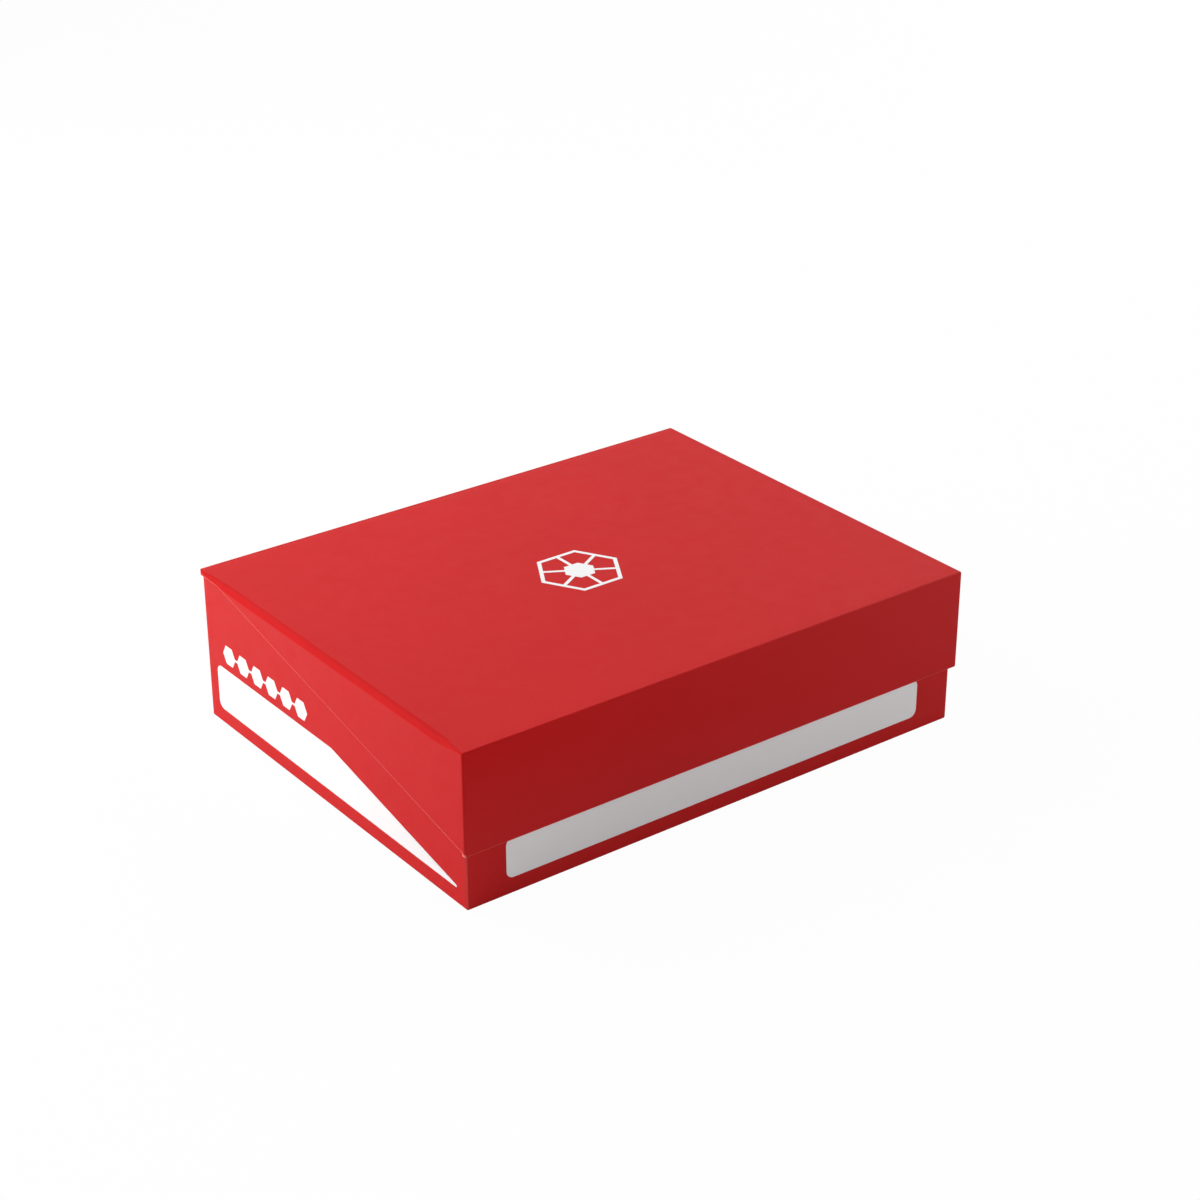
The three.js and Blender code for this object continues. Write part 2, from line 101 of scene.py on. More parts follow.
LID_INNER_X = BASE.x1 + SLIP
LID_INNER_Y = BASE.y0 - SLIP
LID_CEILING = BASE.z1 + SLIP
BASE_INNER_X = BASE_LINING.x1 - BASE_LINING_CAD
BASE_INNER_FRONT = BASE_LINING.y0 + BASE_LINING_CAD
BASE_INNER_REAR = BASE_LINING.y1 - BASE_LINING_CAD
COVER_INSIDE = TURN_IN + 1     # how far inside the cover really runs, behind the lining's edge
LID_TAB_X = BASE.x1 + 0.05     # the lid's rear corners pass outside the base beyond this

# The side panels' lower edge climbs from the flap to just under the lid's top, then runs level.
SEAM_STEP = 1.25           # from the flap's lower edge up to the panels' lower edge
SEAM_RUN = 155             # length over which it climbs
TAB_Z = LID.z1 - 2         # height of the level stretch
SEAM_START = Vector((0, LID_INNER_Y, LID.z0 + SEAM_STEP))
SEAM_END = Vector((0, LID_INNER_Y + SEAM_RUN, TAB_Z))
SEAM_DIRECTION = (SEAM_END - SEAM_START).normalized()
SEAM_UP = Vector((0, -SEAM_DIRECTION.z, SEAM_DIRECTION.y))


def seam_height(y):
    return SEAM_START.z + (y - SEAM_START.y) * SEAM_DIRECTION.z / SEAM_DIRECTION.y


def across_seam(distance):
    """How far above the seam, straight up, a line parallel to it lies."""
    return distance / SEAM_DIRECTION.y


def panel_edge(y):
    """The height at which the side panel's flat face ends and its folded edge begins, on the slope."""
    return seam_height(y) + across_seam(FOLD)


# ---------------------------------------------------------------- mesh helpers

def piece(name, bm):
    """Turns a millimetre bmesh into a smooth-shaded object in metres."""
    bmesh.ops.scale(bm, vec=(MM, MM, MM), verts=bm.verts)
    mesh = bpy.data.meshes.new(name)
    bm.to_mesh(mesh)
    bm.free()
    for face in mesh.polygons:
        face.use_smooth = True
    obj = bpy.data.objects.new(name, mesh)
    SCENE.collection.objects.link(obj)
    return obj


def apply_modifiers(obj):
    """Makes the modifiers' result the object's own mesh."""
    bpy.context.view_layer.update()
    graph = bpy.context.evaluated_depsgraph_get()
    mesh = bpy.data.meshes.new_from_object(obj.evaluated_get(graph), depsgraph=graph)
    mesh.name = obj.name
    old = obj.data
    obj.modifiers.clear()
    obj.data = mesh
    bpy.data.meshes.remove(old)
    return obj


def add_modifier(obj, kind, **settings):
    modifier = obj.modifiers.new(kind.title(), kind)
    for key, value in settings.items():
        setattr(modifier, key, value)
    return modifier


def flat_shading_on_flats(obj):
    """Keeps broad flat faces flat while the narrow rounded edges stay smooth."""
    add_modifier(obj, "WEIGHTED_NORMAL", keep_sharp=True, weight=80)


def keep_rest_position(obj):
    """Stores each point's place, so that a pattern stays on cloth that bends."""
    rest = obj.data.attributes.new("rest_position", "FLOAT_VECTOR", "POINT")
    for point, vertex in zip(rest.data, obj.data.vertices):
        point.vector = vertex.co


def mark_points(obj, attribute, value_of):
    """Stores a value from 0 to 1 at each point, for the material. value_of takes a place in millimetres."""
    values = obj.data.attributes.new(attribute, "FLOAT", "POINT")
    for point, vertex in zip(values.data, obj.data.vertices):
        point.value = value_of(vertex.co / MM)


def bmesh_box(x, y, z):
    bm = bmesh.new()
    bmesh.ops.create_cube(bm, size=1)
    for vertex in bm.verts:
        vertex.co = Vector((
            x[0] if vertex.co.x < 0 else x[1],
            y[0] if vertex.co.y < 0 else y[1],
            z[0] if vertex.co.z < 0 else z[1]))
    return bm


def rounded_box(name, x, y, z, radius_of, segments=8):
    """A box in metres, as an object. radius_of(middle, direction) gives each edge's radius, or 0."""
    bm = bmesh_box(x, y, z)
    edges = []
    for edge in bm.edges:
        start, end = (vertex.co for vertex in edge.verts)
        direction = (end - start).normalized()
        edges.append((edge.index, radius_of((start + end) / 2, direction)))
    widest = max(radius for _, radius in edges)
    layer = bm.edges.layers.float.new("bevel_weight_edge")
    bm.edges.ensure_lookup_table()
    for index, radius in edges:
        bm.edges[index][layer] = radius / widest
    obj = piece(name, bm)
    add_modifier(
        obj, "BEVEL", width=widest * MM, segments=segments, limit_method="WEIGHT",
        offset_type="OFFSET", use_clamp_overlap=False)
    return apply_modifiers(obj)


def take_bmesh(obj):
    """Turns an object back into a millimetre bmesh and deletes it."""
    bm = bmesh.new()
    bm.from_mesh(obj.data)
    bmesh.ops.scale(bm, vec=(1 / MM,) * 3, verts=bm.verts)
    bpy.data.objects.remove(obj)
    return bm


def cut(bm, point, normal, clear=False):
    """Adds a row of edges along a plane; with clear, drops what lies on the normal's side."""
    bmesh.ops.bisect_plane(
        bm, geom=bm.verts[:] + bm.edges[:] + bm.faces[:], dist=1e-5,
        plane_co=point, plane_no=normal, clear_outer=clear)


def open_edge_chain(bm):
    """The open edge's vertices in order, and whether they close on themselves."""
    edges = [e for e in bm.edges if e.is_boundary]
    near = {}
    for edge in edges:
        for vertex in edge.verts:
            near.setdefault(vertex, []).append(edge.other_vert(vertex))
    ends = [vertex for vertex, others in near.items() if len(others) == 1]
    start = min(ends, key=lambda v: v.co.x) if ends else min(near, key=lambda v: (v.co.x, v.co.y))
    chain = [start]
    previous, here = None, start
    while True:
        ahead = [v for v in near[here] if v is not previous]
        if not ahead or ahead[0] is start:
            break
        previous, here = here, ahead[0]
        chain.append(here)
    return chain, not ends


def add_strips(bm, chain, closed, place, steps):
    """Sweeps the chain along steps. place(rest position, step) gives each new corner."""
    rest = [vertex.co.copy() for vertex in chain]
    row = chain
    count = len(chain)
    for step in steps:
        new_row = [bm.verts.new(place(point, step)) for point in rest]
        for i in range(count if closed else count - 1):
            j = (i + 1) % count
            bm.faces.new((row[j], row[i], new_row[i], new_row[j]))
        row = new_row


class Step:
    """One row of a wrapped edge: how far across and up, in radii, thicknesses and heights."""

    def __init__(self, across_radii, across_thicknesses, up_radii, up_heights=0):
        self.across_radii = across_radii
        self.across_thicknesses = across_thicknesses
        self.up_radii = up_radii
        self.up_heights = up_heights

    def across(self, radius, thickness):
        return self.across_radii * radius + self.across_thicknesses * thickness

    def up(self, radius):
        return self.up_radii * radius


def wrapped_edge(segments=5):
    """The rows that turn from an outer face, under a board's edge and up its inner face."""
    quarter = [i / segments * math.pi / 2 for i in range(segments + 1)]
    outer = [Step(1 - math.cos(a), 0, 1 - math.sin(a)) for a in quarter[1:]]
    inner = [Step(math.sin(a) - 1, 1, 1 - math.cos(a)) for a in quarter]
    return outer + inner + [Step(0, 1, 0, 1)]


def tidy(bm):
    bmesh.ops.remove_doubles(bm, verts=bm.verts, dist=1e-4)
    bmesh.ops.dissolve_degenerate(bm, edges=bm.edges, dist=1e-5)
    bmesh.ops.recalc_face_normals(bm, faces=bm.faces)


def face_outward(bm, where, outward):
    """Flips every face if the one at a known place faces in."""
    nearest = min(bm.faces, key=lambda f: (f.calc_center_median() - Vector(where)).length)
    if nearest.normal.dot(Vector(outward)) < 0:
        bmesh.ops.reverse_faces(bm, faces=bm.faces)


def thin_sheet(obj, thickness):
    add_modifier(obj, "SOLIDIFY", thickness=thickness * MM, offset=-1)
    apply_modifiers(obj)


def delete_faces(bm, unwanted):
    bmesh.ops.delete(bm, geom=[f for f in bm.faces if unwanted(f.calc_center_median())], context="FACES")


def finished(obj, body, slot, *nodes):
    """Rides a body and stands for CAD nodes. Its slot argument is not used."""
    if body:
        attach(obj, body)
    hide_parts(*nodes)
    return obj


# ---------------------------------------------------------------- lid

LOOP_CUTS = (-60, -20, 20, 60)      # extra rows of edges along the depth, for even shading
FLAP_PAINTED_HIGHLIGHT = 0.2                     # painted highlight on the flap's lower edge, weaker than on the side panels' folded edges
BASE_PAINTED_HIGHLIGHT = 0.18                    # and the painted highlight on the base's edges, also weaker


def widen_left_edge(bm):
    """Opens the top's left rounding to its full radius away from the corners."""
    start, end = LID.y0 + LID_SHARP_EDGE, BASE.y1 - LID_REAR_CORNER
    steps = 10
    for step in range(1, steps + 1):
        for y in (start + SHARPENING_FRONT * step / steps, end - SHARPENING_REAR * step / steps):
            cut(bm, (0, y, 0), (0, 1, 0))
    for vertex in bm.verts:
        across = vertex.co.x - LID.x0
        down = LID.z1 - vertex.co.z
        if max(across, down) > LID_SHARP_EDGE + 1e-4:
            continue
        front = max(0, min(1, (vertex.co.y - start) / SHARPENING_FRONT))
        rear = max(0, min(1, (end - vertex.co.y) / SHARPENING_REAR))
        share = min(front * front * (3 - 2 * front), rear * (2 - rear))
        growth = 1 + share * (LID_LEFT_EDGE / LID_SHARP_EDGE - 1)
        vertex.co.x = LID.x0 + across * growth
        vertex.co.z = LID.z1 - down * growth


def make_lid_shell():
    """The lid's cover: top, flap and side panels as one sheet, folded round every lower edge."""
    def radius_of(middle, direction):
        if abs(direction.z) > 0.5:
            return LID_REAR_CORNER if middle.y > 0 else LID_SHARP_EDGE
        return 0 if middle.z < LID.z0 else LID_SHARP_EDGE

    box = rounded_box(
        "lid_box", (LID.x0, LID.x1), (LID.y0, BASE.y1), (LID.z0 - SPARE, LID.z1), radius_of)
    bm = take_bmesh(box)
    widen_left_edge(bm)
    step_y = LID_INNER_Y - FOLD
    step_top = panel_edge(step_y)
    cut(bm, (0, 0, LID.z0 + FOLD), (0, 0, -1), clear=True)
    cut(bm, (0, step_y, 0), (0, 1, 0))
    cut(bm, SEAM_START + SEAM_UP * FOLD, SEAM_UP)
    cut(bm, (0, 0, TAB_Z + FOLD), (0, 0, 1))
    delete_faces(bm, lambda c: c.y > step_y and c.z < min(panel_edge(c.y), TAB_Z + FOLD))

    turn_in_meets_ceiling = SEAM_START.y + SEAM_RUN * (
        LID_CEILING - COVER_INSIDE - SEAM_START.z) / (TAB_Z - SEAM_START.z)
    for y in (*LOOP_CUTS, turn_in_meets_ceiling):
        cut(bm, (0, y, 0), (0, 1, 0))

    up = Vector((0, 0, 1))
    forward = Vector((0, -1, 0))
    step_foot = up + forward
    step_head = Vector((0, -1, (1 - SEAM_DIRECTION.z) / SEAM_DIRECTION.y))
    level_off = Vector((0, (SEAM_DIRECTION.y - 1) / SEAM_DIRECTION.z, 1))

    def rise_at(point):
        """The way the edge faces away from, lengthened at a corner so that the fold keeps its size."""
        if abs(point.y - step_y) < NEAR:
            if point.z < LID.z0 + FOLD + NEAR:
                return step_foot
            return forward if point.z < step_top - NEAR else step_head
        if point.y < step_y:
            return up
        if point.z < TAB_Z + FOLD - NEAR:
            return SEAM_UP
        return level_off if panel_edge(point.y) < TAB_Z + FOLD + NEAR else up

    def place(point, step):
        inner = point.copy()
        inner.x = max(-LID_INNER_X, min(LID_INNER_X, inner.x))
        inner.y = max(LID_INNER_Y, inner.y)
        inward = inner - point
        moved = point + inward.normalized() * step.across(FOLD, inward.length)
        moved += rise_at(point) * (step.up(FOLD) - FOLD)
        if step.up_heights:
            moved.z = min(moved.z + COVER_INSIDE, LID_CEILING)
        return moved

    chain, closed = open_edge_chain(bm)
    add_strips(bm, chain, closed, place, wrapped_edge())
    cut(bm, (0, LID.y1, 0), (0, 1, 0))
    for side in (-1, 1):
        cut(bm, (side * LID_TAB_X, 0, 0), (1, 0, 0))
    delete_faces(bm, lambda c: c.y > LID.y1 and abs(c.x) < LID_TAB_X)
    tidy(bm)
    face_outward(bm, (0, 0, LID.z1), (0, 0, 1))
    lid = piece("lid_shell", bm)
    thin_sheet(lid, COVER_SHEET)

    # Painted highlight: a paler colour on the side panels' folded lower edges and the flap's lower edge,
    # standing in for light from the floor catching them.
    def painted_highlight_of(place):
        if abs(place.x) > LID.x1 - FOLD:
            edge = min(seam_height(place.y), TAB_Z)
            return 1 if place.z - edge < across_seam(FOLD) - 0.03 else 0
        return FLAP_PAINTED_HIGHLIGHT if place.y < LID.y0 + FOLD and place.z < LID.z0 + FOLD - 0.02 else 0

    def stretch_of(place):
        across, down = place.x - LID.x0, LID.z1 - place.z
        return 1 if min(across, down) > 0.01 and max(across, down) < LID_LEFT_EDGE else 0

    mark_points(lid, "painted_edge_highlight", painted_highlight_of)
    mark_points(lid, "edge_stretch", stretch_of)
    flat_shading_on_flats(lid)
    return finished(lid, "lid", "cover", "lid_cover")


def make_lid_lining():
    """The dark lining glued inside the lid, up to the red turned-in rim."""
    def radius_of(middle, direction):
        return LINING_FILLET if middle.z > LID.z0 or middle.y < 0 else 0

    x = LID_INNER_X - LINING_PROUD
    y0 = LID_INNER_Y + LINING_PROUD
    rear = LID_LINING.y1
    bm = take_bmesh(rounded_box(
        "lining_box", (-x, x), (y0, rear + SPARE), (LID.z0 - SPARE, LID_CEILING),
        radius_of, segments=4))
    cut(bm, (0, rear, 0), (0, 1, 0), clear=True)
    cut(bm, (0, 0, LID.z0 + TURN_IN), (0, 0, -1), clear=True)
    ceiling_edge = LID_CEILING - LINING_FILLET
    cut(bm, (0, 0, ceiling_edge), (0, 0, 1))
    cut(bm, SEAM_START + SEAM_UP * TURN_IN, SEAM_UP)
    delete_faces(bm, lambda c: c.z < min(seam_height(c.y) + across_seam(TURN_IN), ceiling_edge))
    for y in LOOP_CUTS:
        cut(bm, (0, y, 0), (0, 1, 0))
    tidy(bm)
    face_outward(bm, (0, 0, LID_CEILING), (0, 0, -1))
    lining = piece("lid_lining_cloth", bm)
    thin_sheet(lining, LINING_SHEET)
    flat_shading_on_flats(lining)
    return finished(lining, "lid", "lining", "lid_lining")


# ---------------------------------------------------------------- base

def make_base_shell():
    """The base's cover: underside and walls as one sheet, folded over the front and side walls."""
    def radius_of(middle, direction):
        return BASE_EDGE if abs(direction.z) > 0.5 or middle.z < 1 else 0

    bm = take_bmesh(rounded_box(
        "base_box", (BASE.x0, BASE.x1), (BASE.y0, BASE.y1), (BASE.z0, BASE.z1 + SPARE), radius_of))
    cut(bm, (0, 0, BASE.z1 - FOLD), (0, 0, 1), clear=True)
    for y in (*LOOP_CUTS, BASE_INNER_REAR):
        cut(bm, (0, y, 0), (0, 1, 0))
    lip = Extent("base_rear_board").z1

    def place(point, step):
        if point.y > BASE.y1 - NEAR:
            return Vector((point.x, point.y, BASE.z1))
        inner = point.copy()
        inner.x = max(-BASE_INNER_X, min(BASE_INNER_X, inner.x))
        if point.y < 0:
            inner.y = max(BASE_INNER_FRONT, inner.y)
        inward = inner - point
        moved = point + inward.normalized() * step.across(FOLD, inward.length)
        moved.z = BASE.z1 - step.up(FOLD)
        if step.up_heights:
            moved.z = lip if point.y > BASE_INNER_REAR + 0.01 else BASE.z1 - COVER_INSIDE
        return moved

    chain, closed = open_edge_chain(bm)
    add_strips(bm, chain, closed, place, wrapped_edge())
    tidy(bm)
    face_outward(bm, (0, BASE.y0, BASE.z1 / 2), (0, -1, 0))
    base = piece("base_shell", bm)
    thin_sheet(base, COVER_SHEET)
    highlight_band = BASE_EDGE * 0.75

    # Painted highlight: a paler colour along the base's rounded corners and lower edges, standing in for
    # light catching them.
    def painted_highlight_of(place):
        beside = min(place.x - BASE.x0, BASE.x1 - place.x)
        behind = min(place.y - BASE.y0, BASE.y1 - place.y)
        above = place.z - BASE.z0
        return BASE_PAINTED_HIGHLIGHT if sum(distance < highlight_band for distance in (beside, behind, above)) > 1 else 0

    mark_points(base, "painted_edge_highlight", painted_highlight_of)
    flat_shading_on_flats(base)
    return finished(base, "base", "cover", "base_cover")


def make_base_lining():
    """The dark lining of the floor and walls, up to the red turned-in rim."""
    x = BASE_INNER_X - LINING_PROUD
    y0 = BASE_INNER_FRONT + LINING_PROUD
    y1 = BASE_INNER_REAR - LINING_PROUD
    floor = BASE_LINING.z0 + LINING_SHEET
    top = BASE_LINING.z1
    bm = take_bmesh(rounded_box(
        "lining_box", (-x, x), (y0, y1), (floor, top + SPARE),
        lambda middle, direction: BASE_LINING_FILLET if middle.z < top else 0, segments=5))
    cut(bm, (0, 0, top), (0, 0, 1), clear=True)
    tidy(bm)
    face_outward(bm, (0, 0, floor), (0, 0, 1))
    lining = piece("base_lining_cloth", bm)
    thin_sheet(lining, LINING_SHEET)
    flat_shading_on_flats(lining)
    return finished(lining, "base", "lining", "base_lining")


# ---------------------------------------------------------------- hinge

def swept_loop(name, loop, x0, x1, columns):
    """A closed (y, z) outline swept along X, with a cap at each end."""
    bm = bmesh.new()
    rows = []
    for i in range(columns + 1):
        x = x0 + (x1 - x0) * i / columns
        rows.append([bm.verts.new((x, y, z)) for y, z in loop])
    count = len(loop)
    for near, far in zip(rows, rows[1:]):
        for i in range(count):
            j = (i + 1) % count
            bm.faces.new((near[i], near[j], far[j], far[i]))
    bm.faces.new(rows[0])
    bm.faces.new(rows[-1])
    bmesh.ops.recalc_face_normals(bm, faces=bm.faces)
    return piece(name, bm)


def thick_path(path, thickness):
    """The closed outline of a (y, z) path given a thickness to its left."""
    count = len(path)
    offset = []
    for i, point in enumerate(path):
        before = (point - path[max(i - 1, 0)])
        after = (path[min(i + 1, count - 1)] - point)
        if before.length:
            before.normalize()
        if after.length:
            after.normalize()
        along = (before + after).normalized()
        half_turn = max(0.5, along.dot(after if after.length else before))
        offset.append(point + Vector((-along.y, along.x)) * thickness / half_turn)
    return path + offset[::-1]


def line_points(start, end, count):
    return [Vector(start).lerp(Vector(end), i / count) for i in range(count + 1)]


def arc_points(centre, radius, start, end, count):
    angles = (math.radians(start + (end - start) * i / count) for i in range(count + 1))
    return [Vector((centre[0] + radius * math.cos(a), centre[1] + radius * math.sin(a))) for a in angles]


def without_repeats(points):
    kept = [points[0]]
    for point in points[1:]:
        if (point - kept[-1]).length > NEAR:
            kept.append(point)
    return kept


# The lid opens to 199 degrees, so past 180 both cloths bend the wrong way and cut through the pieces
# round the hinge.

HINGE_COLUMNS = 24          # rows of faces along the fold
HINGE_LINING_SHEET = 0.2    # thickness of the inner hinge cloth


def make_hinge_cloth():
    """The strip of cover that turns from the rear wall over to the lid's top."""
    rear, top = HINGE.y1, HINGE.z1
    path = line_points((rear, HINGE.z0), (rear, top - LID_SHARP_EDGE), 8)
    path += arc_points((rear - LID_SHARP_EDGE, top - LID_SHARP_EDGE), LID_SHARP_EDGE, 0, 90, 8)
    path += line_points((rear - LID_SHARP_EDGE, top), (HINGE.y0, top), 4)
    loop = thick_path(without_repeats(path), COVER_SHEET)
    cloth = swept_loop("hinge_cloth", loop, HINGE.x0, HINGE.x1, HINGE_COLUMNS)
    keep_rest_position(cloth)
    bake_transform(cloth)
    return finished(cloth, None, "cover", "hinge_cover")


def make_hinge_lining():
    """The inner cloth: up the rear wall's inside, over its top, folded back along the lid's underside."""
    thickness = HINGE_LINING_SHEET
    wall = BASE_INNER_REAR
    lip = HINGE_LINING.z1 - 3 * thickness
    bend = HINGE_LINING.y1
    ceiling = HINGE_LINING.z1
    path = line_points((wall, HINGE_LINING.z0), (wall, lip), 6)
    path += line_points((wall, lip), (bend, lip), 6)
    path += line_points((bend, lip), (bend, ceiling), 12)
    path += line_points((bend, ceiling), (HINGE_LINING.y0, ceiling), 12)
    loop = thick_path(without_repeats(path), thickness)
    cloth = swept_loop("hinge_inner_cloth", loop, HINGE_LINING.x0, HINGE_LINING.x1, HINGE_COLUMNS)
    keep_rest_position(cloth)
    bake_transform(cloth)
    return finished(cloth, None, "lining", "hinge_lining")


# ---------------------------------------------------------------- labels

def rounded_outline(corners, segments=12):
    """A closed outline with a rounded corner at each (u, v, radius), given counter-clockwise."""
    count = len(corners)
    points = []
    for i, (u, v, radius) in enumerate(corners):
        here = Vector((u, v))
        before = (Vector(corners[i - 1][:2]) - here).normalized()
        after = (Vector(corners[(i + 1) % count][:2]) - here).normalized()
        half = before.angle(after) / 2
        reach = radius / math.tan(half)
        centre = here + (before + after).normalized() * radius / math.sin(half)
        start = here + before * reach - centre
        turn = math.pi - 2 * half
        for step in range(segments + 1):
            angle = turn * step / segments
            points.append(centre + Vector((
                start.x * math.cos(angle) - start.y * math.sin(angle),
                start.x * math.sin(angle) + start.y * math.cos(angle))))
    return points


def flat_plate(name, outline, to_space, thickness, edge):
    """A thin plate from a 2D outline, with a small rounded edge. to_space(u, v, depth) places it."""
    bm = bmesh.new()
    rows = [(0, 0)]
    rows += [(edge * (math.cos(a) - 1), thickness - edge + edge * math.sin(a))
             for a in (0, math.pi / 6, math.pi / 3, math.pi / 2)]
    count = len(outline)
    made = []
    for shrink, depth in rows:
        ring = []
        for i, point in enumerate(outline):
            along = (outline[(i + 1) % count] - outline[i - 1]).normalized()
            moved = point + Vector((along.y, -along.x)) * shrink
            ring.append(bm.verts.new(to_space(moved.x, moved.y, depth)))
        made.append(ring)
    for near, far in zip(made, made[1:]):
        for i in range(count):
            j = (i + 1) % count
            bm.faces.new((near[i], near[j], far[j], far[i]))
    bm.faces.new(made[0])
    bm.faces.new(made[-1])
    bmesh.ops.recalc_face_normals(bm, faces=bm.faces)
    return piece(name, bm)


LABEL_CORNER = 3            # radius of a label's corners
LABEL_TIP = 0.5             # radius of a side label's pointed end
LABEL_EDGE = 0.05           # radius of a label's face edge
SIDE_LABEL_BEND = 1.5       # radius where a side label starts to taper
SIDE_LABEL_BEND_Y = -0.6    # and where that is


def make_front_label():
    label = Extent("front_label")
    outline = rounded_outline([
        (label.x0, label.z0, LABEL_CORNER), (label.x1, label.z0, LABEL_CORNER),
        (label.x1, label.z1, LABEL_CORNER), (label.x0, label.z1, LABEL_CORNER)])
    obj = flat_plate(
        "front_label_panel", outline, lambda u, v, depth: (u, label.y1 - depth, v),
        label.y1 - label.y0, LABEL_EDGE)
    flat_shading_on_flats(obj)
    return finished(obj, "base", "label", "front_label")


def make_side_label(side, node):
    label = Extent(node)
    wall = label.x1 if side < 0 else label.x0
    taper = math.atan2(label.z1 - label.z0 - 2 * LABEL_TIP, SIDE_LABEL_BEND_Y - label.y0 - LABEL_TIP)
    tip_y = label.y0 + LABEL_TIP - LABEL_TIP / math.tan(taper / 2)
    outline = rounded_outline([
        (tip_y, label.z0, LABEL_TIP), (label.y1, label.z0, LABEL_CORNER),
        (label.y1, label.z1, LABEL_CORNER), (SIDE_LABEL_BEND_Y, label.z1, SIDE_LABEL_BEND)])
    obj = flat_plate(
        node + "_panel", outline, lambda u, v, depth: (wall + side * depth, u, v),
        label.x1 - label.x0, LABEL_EDGE)
    flat_shading_on_flats(obj)
    return finished(obj, "base", "label", node)


# ---------------------------------------------------------------- trays and dividers

TRAY_WALL = 1.6
SCOOP_RADIUS = 22           # radius of a lane's rounded floor
TRAY_FILLET = 2.5           # radius where a lane's floor meets its end walls
NOTCH_RADIUS = 11           # radius of a tray's finger notch
RIB = 1.2                   # width of a rib beside a divider's slot, and how far it stands in
SLOT_WIDTH = 1.6
SLOT_PITCH = 40
DIVIDER_NOTCH_RADIUS = 9
DIVIDER_CORNER = 1.5        # radius of a divider's upper corners
DIVIDER_PLAY = 0.3          # how much tighter a divider's lower curve is than the lane's floor
MOULDED_EDGE = 0.3          # radius of every moulded edge
MOULDED_EDGE_ANGLE = math.radians(35)
ARC_SEGMENTS = 24


def lane_outline(x0, x1, z0, z1, radius):
    """An (x, z) outline with a scooped floor and square top corners, counter-clockwise."""
    points = arc_points((x0 + radius, z0 + radius), radius, 180, 270, ARC_SEGMENTS)
    points += arc_points((x1 - radius, z0 + radius), radius, 270, 360, ARC_SEGMENTS)
    return without_repeats(points) + [Vector((x1, z1)), Vector((x0, z1))]


def prism(outline, y0, y1):
    """A millimetre bmesh of an (x, z) outline swept along Y."""
    bm = bmesh.new()
    near = [bm.verts.new((p.x, y0, p.y)) for p in outline]
    far = [bm.verts.new((p.x, y1, p.y)) for p in outline]
    count = len(outline)
    for i in range(count):
        j = (i + 1) % count
        bm.faces.new((near[i], near[j], far[j], far[i]))
    bm.faces.new(near)
    bm.faces.new(far)
    bmesh.ops.recalc_face_normals(bm, faces=bm.faces)
    return bm


def combine(target, tool, operation):
    """Joins or cuts target with tool, then deletes the tool."""
    add_modifier(target, "BOOLEAN", operation=operation, solver="EXACT", object=tool)
    apply_modifiers(target)
    bpy.data.objects.remove(tool)


def rounded_prism(name, outline, y0, y1, radius):
    """A prism whose two ends are rounded, for a moulded hollow with filleted ends."""
    obj = piece(name, prism(outline, y0, y1))
    add_modifier(
        obj, "BEVEL", width=radius * MM, segments=6, limit_method="ANGLE",
        angle_limit=math.radians(60), use_clamp_overlap=False)
    return apply_modifiers(obj)


def soften_moulded_edges(obj):
    add_modifier(
        obj, "BEVEL", width=MOULDED_EDGE * MM, segments=3, limit_method="ANGLE",
        angle_limit=MOULDED_EDGE_ANGLE, use_clamp_overlap=True)
    apply_modifiers(obj)
    flat_shading_on_flats(obj)


def make_tray(node):
    """Two scooped lanes with divider slots, finger notches and soft moulded edges."""
    tray = Extent(node)
    tray_name = node + "_moulding"
    lane_width = (tray.x1 - tray.x0 - 3 * TRAY_WALL) / 2
    lane_starts = (tray.x0 + TRAY_WALL, tray.x1 - TRAY_WALL - lane_width)
    body = None
    for x0 in lane_starts:
        outline = lane_outline(
            x0 - TRAY_WALL, x0 + lane_width + TRAY_WALL, tray.z0, tray.z1, SCOOP_RADIUS + TRAY_WALL)
        shell = piece(tray_name, prism(outline, tray.y0, tray.y1))
        if body is None:
            body = shell
        else:
            combine(body, shell, "UNION")
    spare = 10
    for x0 in lane_starts:
        outline = lane_outline(
            x0, x0 + lane_width, tray.z0 + TRAY_WALL, tray.z1 + spare, SCOOP_RADIUS)
        hollow = rounded_prism("hollow", outline, tray.y0 + TRAY_WALL, tray.y1 - TRAY_WALL, TRAY_FILLET)
        combine(body, hollow, "DIFFERENCE")
    for x0 in lane_starts:
        add_slot_ribs(body, tray, x0, lane_width)
    for x0 in lane_starts:
        centre = (x0 + lane_width / 2, tray.z1)
        notch = piece("notch", prism(
            arc_points(centre, NOTCH_RADIUS, 0, 345, 2 * ARC_SEGMENTS - 1),
            tray.y0 - spare, tray.y1 + spare))
        combine(body, notch, "DIFFERENCE")
    soften_moulded_edges(body)
    return finished(body, "base", "tray", node)


def add_slot_ribs(body, tray, x0, lane_width):
    """The pairs of ribs on a lane's two side walls that hold a divider between them."""
    bottom = tray.z0 + TRAY_WALL + SCOOP_RADIUS
    top = tray.z1 - 1
    middle_y = tray.middle("y")
    offset = (SLOT_WIDTH + RIB) / 2
    for slot in (-1, 0, 1):
        for flank in (-1, 1):
            y = middle_y + slot * SLOT_PITCH + flank * offset
            for wall_x, inward in ((x0, 1), (x0 + lane_width, -1)):
                ends = sorted((wall_x - inward * TRAY_WALL / 2, wall_x + inward * RIB))
                rib = piece("rib", bmesh_box(ends, (y - RIB / 2, y + RIB / 2), (bottom, top)))
                combine(body, rib, "UNION")


